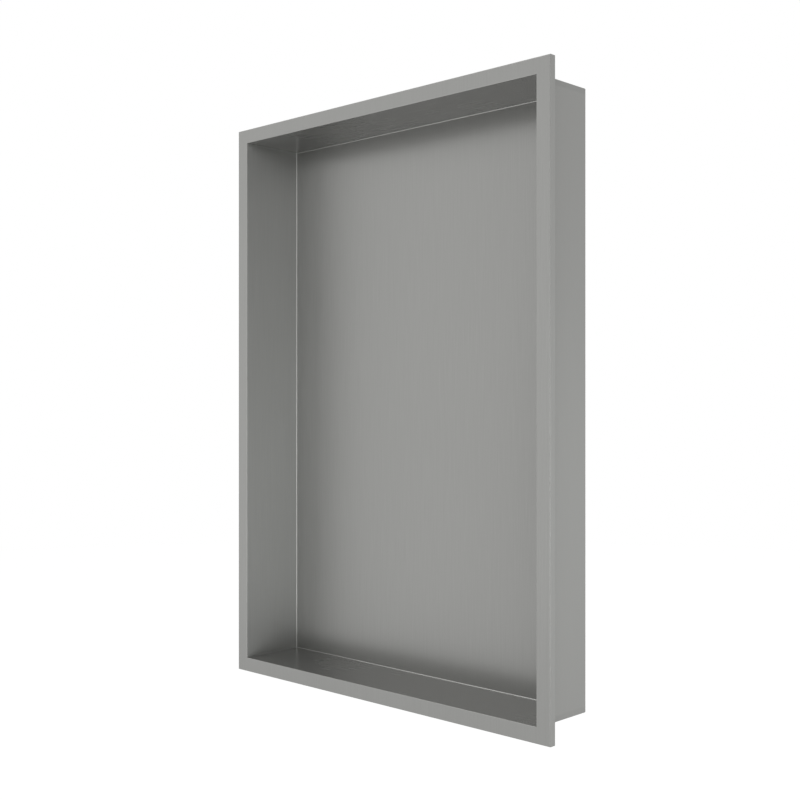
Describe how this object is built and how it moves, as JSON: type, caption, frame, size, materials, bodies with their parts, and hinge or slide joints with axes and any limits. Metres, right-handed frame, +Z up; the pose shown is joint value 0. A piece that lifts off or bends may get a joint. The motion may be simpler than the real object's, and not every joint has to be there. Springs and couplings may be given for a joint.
{
  "type": "shower niche insert",
  "caption": "Upright rectangular recess of folded brushed stainless steel sheet, with a narrow flat frame round its mouth, set into a shower wall.",
  "frame": {"origin": "centre of the back panel's outer face, the face that is bonded to the wall board", "axes": "+Y out of the back panel into the wall, +Z up, +X to the right as seen from the room; the mouth opens towards -Y"},
  "size_m": [0.43, 0.074, 0.6],
  "materials": {
    "brushed_steel": "fine satin brushing, upright on the back panel, side walls and frame, and from side to side on the top and bottom walls"
  },
  "bodies": {
    "root": {"niche_shell": "brushed_steel"}
  },
  "joints": []
}
